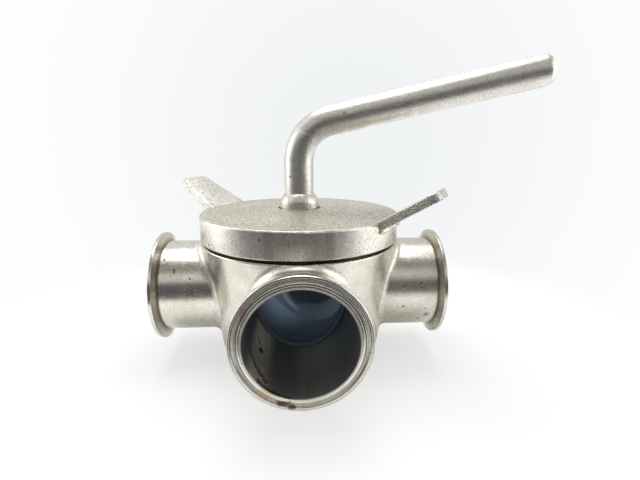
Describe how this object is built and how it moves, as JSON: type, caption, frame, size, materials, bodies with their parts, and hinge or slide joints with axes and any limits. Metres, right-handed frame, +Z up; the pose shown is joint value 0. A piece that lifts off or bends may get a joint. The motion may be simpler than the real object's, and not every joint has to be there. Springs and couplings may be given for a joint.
{
  "type": "three way plug valve",
  "caption": "Sanitary three way plug valve: tapered bowl with clamp ferrules, wing cap nut, jacketed plug with an elbow passage and a bent bar handle.",
  "frame": {"origin": "on the plug axis, at the flat underside of the bowl", "axes": "+Z up along the plug axis, +X out of the right port, -X out of the left port, -Y out of the front port"},
  "size_m": [0.3134, 0.2007, 0.249],
  "materials": {
    "bowl_steel": "satin cast stainless",
    "ferrule_steel": "turned stainless",
    "weld_steel": "ground weld",
    "cap_steel": "pitted cast stainless, turned rim",
    "wing_steel": "rolled plate",
    "handle_steel": "drawn bar, scratched",
    "core_steel": "plain",
    "plug_rubber": "moulded, dark blue",
    "seal_rubber": "moulded, black",
    "bearing_plastic": "turned"
  },
  "bodies": {
    "bowl": {"valve_body": "bowl_steel", "left_ferrule": "ferrule_steel", "right_ferrule": "ferrule_steel", "front_ferrule": "ferrule_steel", "left_port_weld": "weld_steel", "right_port_weld": "weld_steel", "front_port_weld": "weld_steel", "body_gasket": "seal_rubber", "plug_foot_pad": "bearing_plastic"},
    "plug": {"plug_core": "core_steel", "plug_jacket": "plug_rubber", "plug_stem": "handle_steel", "lower_stem_seal": "seal_rubber", "upper_stem_seal": "seal_rubber", "handle_weld": "weld_steel", "handle_bar": "handle_steel"},
    "washer": {"thrust_washer": "bearing_plastic"},
    "cap": {"wing_nut_cap": "cap_steel", "front_wing": "wing_steel", "rear_wing": "wing_steel", "front_wing_weld": "weld_steel", "rear_wing_weld": "weld_steel", "stem_bush": "bearing_plastic"}
  },
  "joints": [
    {"name": "handle_turn", "type": "hinge", "parent": "bowl", "child": "plug", "pos_m": [0, 0, 0.0626], "axis": [0, 0, 1], "continuous": true},
    {"name": "cap_lift", "type": "slide", "parent": "bowl", "child": "washer", "axis": [0, 0, 1], "range_m": [0, 0.0111]},
    {"name": "cap_unscrew", "type": "hinge", "parent": "washer", "child": "cap", "pos_m": [0, 0, 0.1068], "axis": [0, 0, 1], "range_deg": [0, 990]}
  ],
  "couplings": [
    {"joint": "cap_lift", "follows": "cap_unscrew", "m_per_rad": 0.00063662}
  ]
}
